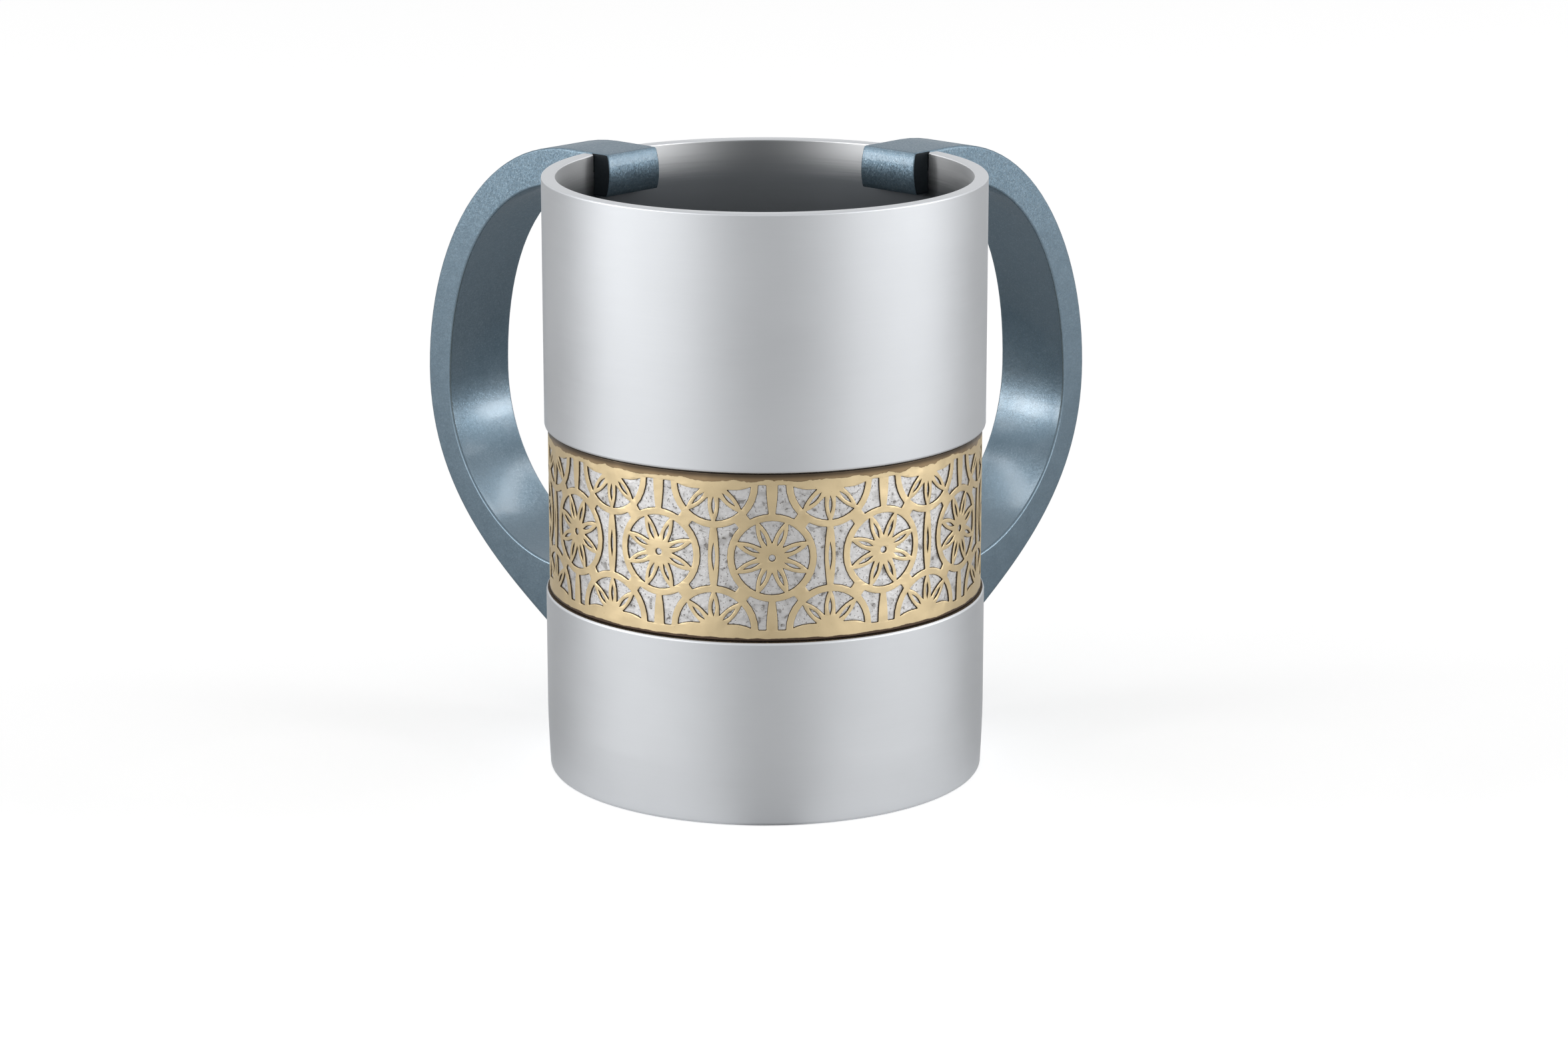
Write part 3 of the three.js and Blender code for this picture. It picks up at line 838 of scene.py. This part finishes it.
# %% [markdown]
# ## The bottom
# The bottom is a turned disc with a flange below, a plug above and a groove for the seal ring. The flange's
# upper face is inset and pulled up into the plug, and the groove is pushed in between two slices.

# %% The bottom
BASE_PLUG = 0.004
SEAL_SECTION = 0.0018
BASE_ROUND = 0.0004

flange_radius = bore_radius + SEAT_STEP - SHEET_CLEARANCE
plug_radius = bore_radius - SHEET_CLEARANCE
floor_height = BASE_FLANGE + BASE_PLUG
bottom = cylinder(CUP_SIDES, flange_radius, BASE_FLANGE, (0, 0, BASE_FLANGE / 2))
with editing(bottom, "FACE", lambda middle, direction: direction.z > ALONG):
    bpy.ops.mesh.inset(thickness=flange_radius - plug_radius)
    bpy.ops.mesh.extrude_region()
    bpy.ops.transform.translate(value=(0, 0, BASE_PLUG))
groove_middle = BASE_FLANGE + BASE_PLUG / 2
groove_half = SEAL_SECTION / 2 + SHEET_CLEARANCE
sliced(bottom, UP, [groove_middle - groove_half, groove_middle + groove_half])


def in_groove(middle, direction):
    return abs(middle.z - groove_middle) < groove_half and abs(direction.z) < ACROSS


pushed(bottom, in_groove, plug_radius, plug_radius - SEAL_SECTION)
rounded(bottom, ring_edge(0, flange_radius), BASE_ROUND, 3)
rounded(bottom, ring_edge(floor_height, plug_radius), BASE_ROUND, 3)
finished(painted(bottom, [satin_end]), "pressed_bottom", "anodised_aluminium", "base_disc")

# %% [markdown]
# The seal ring lies in that groove, out of sight. Its CAD solid has the right shape, so it only gets its
# rubber.

# %% The seal ring
painted(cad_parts["base_seal_ring"], [rubber])
print("the seal ring keeps its CAD shape")

# %% [markdown]
# ## The silver sheet
# A plain dull strip lies in the recess, under the brass, and shows where the brass leaves it open. It is a
# tube with eased edges. The photograph's brass is thinner than the CAD model's, and the strip fills the rest.

# %% The silver sheet
SHEET_ROUND = 0.00012

sheet_low = band_foot + BAND_END_GAP
sheet_high = band_top - BAND_END_GAP
underlay = tube(silver_radius, recess_radius + SHEET_CLEARANCE, sheet_low, sheet_high, CUP_SIDES)
for height in (sheet_low, sheet_high):
    rounded(underlay, ring_edge(height, silver_radius), SHEET_ROUND, 2)
finished(painted(underlay, [silver]), "dull_silver_sheet", "dull_silver", "silver_underlay_band")

# %% [markdown]
# ## Flat outlines
# The pierced brass and the handles both start as flat outlines. A flat curve fills itself, leaves the inner
# outlines open, gets a thickness and rounds its edges in one go, which a mesh can't do. Then it is turned
# into a mesh. Corners are eased first, because a round edge needs room to turn in.

# %% Flat outlines
CORNER_TURN = math.radians(35)  # a turn sharper than this is a corner
CORNER_SHARE = 0.4  # the most that one corner takes of each side next to it
OUTLINE_MERGE = 0.000002


def eased(outline, radius):
    """An outline with its corners rounded off by this much."""
    points = []
    for before, corner, after in zip(outline[-1:] + outline[:-1], outline, outline[1:] + outline[:1]):
        back, ahead = before - corner, after - corner
        if math.pi - back.angle(ahead) < CORNER_TURN:
            points.append(corner)
            continue
        start, end = [corner + side * min(radius / side.length, CORNER_SHARE) for side in (back, ahead)]
        points += [start, (start + 2 * corner + end) / 4, end]
    return points


def cubic(a, b, c, d, steps):
    """Points along a cubic curve, without its last one."""
    return [
        (1 - t) ** 3 * a + 3 * (1 - t) ** 2 * t * b + 3 * (1 - t) * t ** 2 * c + t ** 3 * d
        for t in spaced(0, 1, steps)[:-1]
    ]


def sheet_from(outlines, thickness, edge_round, edge_steps):
    """A flat sheet in the XY plane, half above it and half below, with the inner outlines left open."""
    curve = bpy.data.curves.new("outline", "CURVE")
    curve.dimensions = "2D"
    curve.fill_mode = "BOTH"
    curve.extrude = thickness / 2 - edge_round
    curve.bevel_depth = edge_round
    curve.bevel_resolution = edge_steps
    curve.offset = -edge_round
    for outline in outlines:
        spline = curve.splines.new("POLY")
        spline.points.add(len(outline) - 1)
        spline.use_cyclic_u = True
        for point, place in zip(spline.points, outline):
            point.co = (place.x, place.y, 0, 1)
    piece = bpy.data.objects.new("sheet", curve)
    bpy.context.collection.objects.link(piece)
    only(piece)
    bpy.ops.object.convert(target="MESH")
    return merged(bpy.context.object, OUTLINE_MERGE)


# %% [markdown]
# ## The ornament
# The band is pierced with a lattice. Full rosettes stand in a row along the middle, half rosettes grow from
# both borders half a pitch on, and an upright bud fills each space between them. What is drawn is the
# openings: one wedge between two petals makes a whole rosette, and one outline both sides of a bud.

# %% Sizes of the ornament
REPEATS = 12
BORDER = 0.0022
MEETING_STRIP = 0.0039  # brass between the openings of two neighbouring rosettes
RING_STRIP = 0.0014  # brass round each rosette
PETALS = 8
HEART_RADIUS = 0.0017
HEART_DOT = 0.00075
PETAL_WIDTH = 0.0023
PETAL_TIP_WIDTH = 0.0007
PETAL_WAIST_SHARE = 0.45
BUD_WIDTH = 0.0023
BUD_TIP_WIDTH = 0.0013
CORNER_SOLID = math.radians(9)
CORNER_EASE = 0.00022

half_pitch = math.pi * brass_radius / REPEATS
half_field = (band_top - band_foot) / 2 - BAND_END_GAP - BORDER
rosette_radius = (math.hypot(half_pitch, half_field) - MEETING_STRIP) / 2
petal_step = 2 * math.pi / PETALS
print("rosettes are", round(2000 * rosette_radius, 1), "mm across, and a repeat is",
      round(2000 * half_pitch, 1), "mm long")


# %% Openings of one rosette
def polar(radius, angle):
    return Vector((radius * math.cos(angle), radius * math.sin(angle)))


def mirrored(outline, across=1, up=-1):
    return [Vector((point.x * across, point.y * up)) for point in outline]


def petal_half_width(radius):
    """Half of a petal's width at this distance from the rosette's middle."""
    waist = HEART_RADIUS + PETAL_WAIST_SHARE * (rosette_radius - HEART_RADIUS)
    if radius < waist:
        return PETAL_WIDTH / 2
    share = (radius - waist) / (rosette_radius - waist)
    return (PETAL_WIDTH - (PETAL_WIDTH - PETAL_TIP_WIDTH) * share ** 2) / 2


def between_petals(growth, side_steps=5, ring_steps=4):
    """The opening between two petals, along +X from the rosette's middle."""
    narrowest = (PETAL_WIDTH / 2 + growth) / math.sin(petal_step / 2)
    widest = rosette_radius - growth
    edge = []
    for radius in spaced(narrowest, widest, side_steps):
        beside = math.asin((petal_half_width(radius) + growth) / radius)
        edge.append(polar(radius, petal_step / 2 - beside))
    tip = math.atan2(edge[-1].y, edge[-1].x)
    ring = [polar(widest, angle) for angle in spaced(tip, -tip, ring_steps)[1:-1]]
    return eased(edge + ring + mirrored(reversed(edge[1:])), CORNER_EASE)


def dot(radius, steps=14):
    return [polar(radius, angle) for angle in spaced(0, 2 * math.pi, steps)[:-1]]


def moved(outline, x, y, angle=0.0):
    """An outline turned about zero and then moved."""
    place = Vector((x, y))
    return [polar(point.length, math.atan2(point.y, point.x) + angle) + place for point in outline]


# %% Openings beside a bud
def beside_bud(growth, middle, steps=4):
    """The lower half of the opening on a bud's right, from this middle height down and back up."""
    ring = rosette_radius + RING_STRIP + growth
    meeting = math.atan2(half_field, half_pitch)
    tip = math.asin((BUD_TIP_WIDTH / 2 + growth) / ring)
    corner = math.pi / 2 - meeting - CORNER_SOLID
    last = math.asin(middle / ring)

    def on_side_ring(angle):
        return Vector((half_pitch - ring * math.cos(angle), ring * math.sin(angle)))

    def on_end_ring(angle):
        return Vector((ring * math.sin(angle), ring * math.cos(angle) - half_field))

    top = on_end_ring(tip)
    bud_side = []
    for share in spaced(0, 1, steps)[:-1]:
        width = BUD_WIDTH / 2 + growth + (BUD_TIP_WIDTH - BUD_WIDTH) / 2 * share ** 2
        bud_side.append(Vector((width, middle + (top.y - middle) * share)))
    end_arc = [on_end_ring(angle) for angle in spaced(tip, corner, steps)]
    side_arc = [on_side_ring(angle) for angle in spaced(CORNER_SOLID - meeting, last, steps)]
    return bud_side + end_arc + side_arc


def whole_opening(growth):
    lower = beside_bud(growth, 0.0)
    return eased(lower + mirrored(reversed(lower[1:-1])), CORNER_EASE)


def half_opening(growth):
    return eased(beside_bud(growth, -growth), CORNER_EASE)


# %% All openings of one repeat
SLIT_START = 0.0027
SLIT_END = 0.0065
SLIT_WIDTH = 0.0008
BUD_SLIT_REACH = 0.003


def slit(start, end, growth, steps=5):
    """A narrow opening along +X, pointed at both ends."""
    first, length = start + 2 * growth, end - start - 4 * growth
    half_width = SLIT_WIDTH / 2 - growth
    upper = [
        Vector((first + length * share, half_width * math.sin(math.pi * share)))
        for share in spaced(0, 1, steps)
    ]
    return upper + mirrored(reversed(upper[1:-1]))


def rosette_openings(x, y, angles, growth):
    """The wedges of a rosette at these angles, and the slits of the petals between them."""
    outlines = [moved(between_petals(growth), x, y, angle) for angle in angles]
    petals = angles if len(angles) == PETALS else angles[:-1]
    for angle in petals:
        petal = angle + petal_step / 2
        outlines.append(moved(slit(SLIT_START, SLIT_END, growth), x, y, petal))
    return outlines


def openings_of_one_repeat(growth=0.0):
    """The outlines of all openings, made smaller all round by this growth of the brass."""
    full = [i * petal_step for i in range(PETALS)]
    upper_half = [(i + 0.5) * petal_step for i in range(PETALS // 2)]
    lower_half = [angle - math.pi for angle in upper_half]
    outlines = rosette_openings(0, 0, full, growth) + [dot(HEART_DOT - growth)]
    for x in (-half_pitch, half_pitch):
        outlines += rosette_openings(x, -half_field, upper_half, growth)
        outlines += rosette_openings(x, half_field, lower_half, growth)
        outlines += [moved(mirrored(whole_opening(growth), side, 1), x, 0) for side in (-1, 1)]
        outlines.append(moved(slit(-BUD_SLIT_REACH, BUD_SLIT_REACH, growth), x, 0, math.pi / 2))
    for side in (-1, 1):
        outlines.append(moved(mirrored(half_opening(growth), side, 1), 0, half_field))
        outlines.append(moved(mirrored(half_opening(growth), side, -1), 0, -half_field))
    return outlines


print("one repeat is drawn with", len(openings_of_one_repeat()), "openings")

# %% [markdown]
# ## The pierced brass
# Only half of one repeat has to be modelled. The flat sheet is trimmed at the rosette's middle and at the
# bud's middle, sliced so that it can bend, and mirrored, so that the copies meet point on point. Then it is
# repeated twelve times, and each point is moved from the flat strip to the same distance round the cup.

# %% The pierced brass
BRASS_ROUND = 0.00008
BEND_STEPS = 9  # slices in half a repeat
PATTERN_MARGIN = 0.012  # how much longer than one repeat the flat sheet is at both ends
REPEAT_MERGE = 0.000005
BRASS_FRONT = 0.3  # a face is polished where at least this part of its direction points out of the sheet

band_middle = (band_top + band_foot) / 2
half_height = (sheet_high - sheet_low) / 2


def pierced_strip(openings, thickness, edge_round, edge_steps):
    """All twelve repeats of the ornament in one flat strip."""
    reach = half_pitch + PATTERN_MARGIN
    edge = [Vector((x * reach, y * half_height)) for x, y in ((-1, -1), (1, -1), (1, 1), (-1, 1))]
    strip = sheet_from([edge] + openings, thickness, edge_round, edge_steps)
    for side, place in ((1, 0), (-1, -half_pitch)):  # trims it at the rosette's middle and at the bud's
        sliced(strip, (side, 0, 0), [place], clear_inner=True, threshold=SAME_PLACE)
    sliced(strip, (1, 0, 0), spaced(0, half_pitch, BEND_STEPS)[1:-1])
    modified(strip, "MIRROR", merge_threshold=REPEAT_MERGE)
    return modified(
        strip, "ARRAY", count=REPEATS, use_relative_offset=False, use_constant_offset=True,
        constant_offset_displace=(2 * half_pitch, 0, 0),
        use_merge_vertices=True, merge_threshold=REPEAT_MERGE,
    )


def wrapped(strip, face_radius, thickness):
    """Bends a flat strip round the cup, with its upper face at this radius."""
    for point in strip.data.vertices:
        angle = point.co.x / brass_radius
        radius = face_radius - thickness / 2 + point.co.z
        point.co = (radius * math.sin(angle), -radius * math.cos(angle), band_middle + point.co.y)
    return merged(strip, REPEAT_MERGE)


band = pierced_strip(openings_of_one_repeat(), BRASS_SHEET, BRASS_ROUND, 1)
painted(band, [brass, brass_edge_and_painted_shade], lambda face: abs(face.normal.z) < BRASS_FRONT)
wrapped(band, brass_radius, BRASS_SHEET)
finished(band, "pierced_brass_band", "polished_brass", "gold_cutwork_band")

# %% [markdown]
# A thin dark line follows every edge of the brass, partly left over from the cutting and partly painted
# shadow of the gap under it. It is a very thin second sheet under the brass with the same openings, each a
# little smaller.

# %% The dark line round each opening
RESIDUE_SHADOW_SHEET = 0.00004
RESIDUE_SHADOW_ROUND = 0.00001
RESIDUE_SHADOW_WIDTH = 0.0001

# a dark sheet for cutting dirt and painted shadow round each opening
residue_and_shadow_line = pierced_strip(openings_of_one_repeat(RESIDUE_SHADOW_WIDTH), RESIDUE_SHADOW_SHEET, RESIDUE_SHADOW_ROUND, 0)
wrapped(residue_and_shadow_line, brass_radius - BRASS_SHEET - SHEET_CLEARANCE / 4, RESIDUE_SHADOW_SHEET)
finished(painted(residue_and_shadow_line, [brass_edge_and_painted_shade]), "dark_residue_and_painted_shadow", "polished_brass")

# %% [markdown]
# ## The handles
# Each handle is one C-shaped casting. Its upper end bridges the rim in its notch and hooks down inside, and
# its lower end widens towards the wall. The outline is two smooth curves outside and two inside, given as
# shares of the handle's reach and height, and the rest is straight. The side that the fingers lie on is sunk
# a little across, as the photograph's short highlights suggest. The shape is narrowed towards the top, and a
# tube of the wall's size takes out the slot for the wall. Faces with many corners are cut into triangles.

# %% The handle's outline
HANDLE_REACH = 0.0492
HANDLE_FOOT_HEIGHT = 0.0206
HANDLE_TOP_THICKNESS = 0.0083
HANDLE_BELLY_THICKNESS = 0.0069
HANDLE_ROUND = 0.0005
HOOK_REACH = 0.0047
HOOK_DROP = 0.009
HOOK_BULGE = 0.0008
HOOK_CORNER = 0.0006
HOOK_STEPS = 8
CURVE_STEPS = 26
OUTER_CURVE_SHARES = [
    (0.082, 1), (0.646, 1), (1, 0.768), (1, 0.523),
    (1, 0.294), (0.632, 0.175), (0.268, 0.074),
]
OPENING_CURVE_SHARES = [
    (0.112, 1), (0.629, 1), (1, 0.778), (1, 0.432),
    (1, 0.199), (0.609, 0.015), (0.189, 0.005),
]


def double_curve(shares, reach, low, high):
    """Points along the two cubic curves that seven shares make, from the top down."""
    a, b, c, d, e, f, g = [Vector((cup_radius + out * reach, low + up * (high - low))) for out, up in shares]
    return cubic(a, b, c, d, CURVE_STEPS) + cubic(d, e, f, g, CURVE_STEPS) + [g]


def handle_outline():
    opening_low = HANDLE_FOOT + HANDLE_FOOT_HEIGHT
    opening_high = handle_top - HANDLE_TOP_THICKNESS
    outer = double_curve(OUTER_CURVE_SHARES, HANDLE_REACH, HANDLE_FOOT, handle_top)
    opening_reach = HANDLE_REACH - HANDLE_BELLY_THICKNESS
    opening = double_curve(OPENING_CURVE_SHARES, opening_reach, opening_low, opening_high)
    in_wall = cup_radius - WALL / 2
    hook_low = cup_height - HOOK_DROP
    hook_end = bore_radius - HOOK_REACH
    bulged = hook_end - HOOK_BULGE * 4 / 3
    rise = (handle_top - hook_low) / 3
    top, foot = Vector((hook_end, handle_top)), Vector((hook_end, hook_low))
    upper, lower = Vector((bulged, handle_top - rise)), Vector((bulged, hook_low + rise))
    hook = cubic(top, upper, lower, foot, HOOK_STEPS) + [foot]
    inside = [Vector((in_wall, height)) for height in (hook_low, opening_high)]
    seat = [Vector((out, opening_low)) for out in (cup_radius, in_wall)]
    seat += [Vector((out, HANDLE_FOOT)) for out in (in_wall, cup_radius)]
    return eased(hook + inside + opening + seat + outer[::-1], HOOK_CORNER)


# %% The handle's body
FIT_GAP = 0.0001
SCREW_REACH = 0.009
HOLLOW = 0.00035
HOLLOW_STRIPS = 7
FINGERS = Vector((cup_radius + HANDLE_REACH / 3, 0, handle_top * 0.6))  # the middle of the finger opening
SIDE_TILT = 0.5  # a point that looks sideways by more than this lies on the handle's flat sides
HOOK_SIDE = 0.7  # and a face of the hook beyond this one

edge_on = sheet_from([handle_outline()], HANDLE_WIDTH, HANDLE_ROUND, 3)
handle = turned(edge_on, "x", math.pi / 2)
sliced(handle, (0, 1, 0), spaced(-HANDLE_WIDTH / 2, HANDLE_WIDTH / 2, HOLLOW_STRIPS)[1:-1])
half_flat = HANDLE_WIDTH / 2 - HANDLE_ROUND
sunk = {}
for point in handle.data.vertices:
    inwards = point.normal.dot(FINGERS - point.co) > 0 and abs(point.normal.y) < SIDE_TILT
    if inwards and point.co.x > cup_radius and abs(point.co.y) < half_flat:
        sunk[point.index] = point.normal * HOLLOW * (1 - (point.co.y / half_flat) ** 2)
for index, depth in sunk.items():
    handle.data.vertices[index].co -= depth
print(len(sunk), "points of the inner side are sunk")
for point in handle.data.vertices:
    point.co.y *= handle_width_at(point.co.z) / HANDLE_WIDTH
slot_cutter = tube(cup_radius + FIT_GAP, bore_radius - FIT_GAP, -WALL, notch_floor + NOTCH_GAP, CUP_SIDES)
cut(handle, slot_cutter)
cut(handle, bar(SCREW_RADIUS + HOLE_GAP, bore_radius, cup_radius + SCREW_REACH + HOLE_GAP, SCREW_HEIGHT))
sliced(handle, (1, 0, 0), [bore_radius])
with editing(handle, "FACE", everything):
    bpy.ops.mesh.select_face_by_sides(number=4, type="GREATER", extend=False)
    bpy.ops.mesh.quads_convert_to_tris(ngon_method="BEAUTY")


def beside_hook(face):
    return face.center.x < bore_radius and abs(face.normal.y) > HOOK_SIDE


# the hooks' sides inside the cup get the coat with painted shade
painted(handle, [coat, coat_shaded], beside_hook)
print("handle has", len(handle.data.polygons), "faces")

# %% [markdown]
# ## Screws and washers
# A socket-head screw holds each handle from inside the cup, with a rubber washer under its head. The shank is
# inset and pulled out of the head's back, the edges are eased, and a six-sided bar leaves the socket. The
# washer is a short tube with round edges.

# %% Screws and washers
WASHER_RADIUS = 0.0043
WASHER_THICKNESS = 0.001
SEAT_GAP = 0.0003
HEAD_RADIUS = 0.0036
HEAD_HEIGHT = 0.0022
HEAD_ROUND = 0.0006
SOCKET_RADIUS = 0.0014
SOCKET_DEPTH = 0.0013

washer_seat = math.sqrt(bore_radius ** 2 - WASHER_RADIUS ** 2) - SEAT_GAP
head_seat = washer_seat - WASHER_THICKNESS - SEAT_GAP
screw = bar(HEAD_RADIUS, head_seat - HEAD_HEIGHT, head_seat, SCREW_HEIGHT)
with editing(screw, "FACE", lambda middle, direction: direction.x > ALONG):
    bpy.ops.mesh.inset(thickness=HEAD_RADIUS - SCREW_RADIUS)
    bpy.ops.mesh.extrude_region()
    bpy.ops.transform.translate(value=(cup_radius + SCREW_REACH - head_seat, 0, 0))


def across_x(place):
    """A test for the edges that run round the screw at this place along it."""
    def test(middle, direction):
        return abs(middle.x - place) < EDGE_REACH and abs(direction.x) < ACROSS
    return test


mouth = head_seat - HEAD_HEIGHT
rounded(screw, across_x(mouth), HEAD_ROUND, 4)
rounded(screw, across_x(cup_radius + SCREW_REACH), HEAD_ROUND, 1)
cut(screw, bar(SOCKET_RADIUS, mouth - SOCKET_DEPTH, mouth + SOCKET_DEPTH, SCREW_HEIGHT, sides=6))
washer = tube(WASHER_RADIUS, SCREW_RADIUS + HOLE_GAP, -WASHER_THICKNESS, 0, BAR_SIDES)
rounded(washer, lambda middle, direction: abs(direction.z) < ACROSS, WASHER_THICKNESS / 4, 2)
washer.location = (washer_seat, 0, SCREW_HEIGHT)
turned(washer, "y", math.pi / 2)
painted(screw, [steel])
painted(washer, [rubber])
print("screw has", len(screw.data.polygons), "faces, washer", len(washer.data.polygons))

# %% [markdown]
# The handle, its screw and its washer are made once, along +X. Copies of them are turned to both sides, each
# with its own mesh.

# %% Both sides
PATTERNS = (
    (handle, "cast_handle", "blue_metallic_coat", "handle"),
    (screw, "screw", "stainless_steel", "handle_screw"),
    (washer, "washer", "seal_rubber", "screw_seal"),
)

for side, angle in HANDLE_ANGLES.items():
    for pattern, name, slot, node in PATTERNS:
        only(pattern)
        bpy.ops.object.duplicate()
        finished(turned(bpy.context.object, "z", angle), f"{side}_{name}", slot, f"{side}_{node}")
for pattern, *_ in PATTERNS:
    bpy.data.objects.remove(pattern)
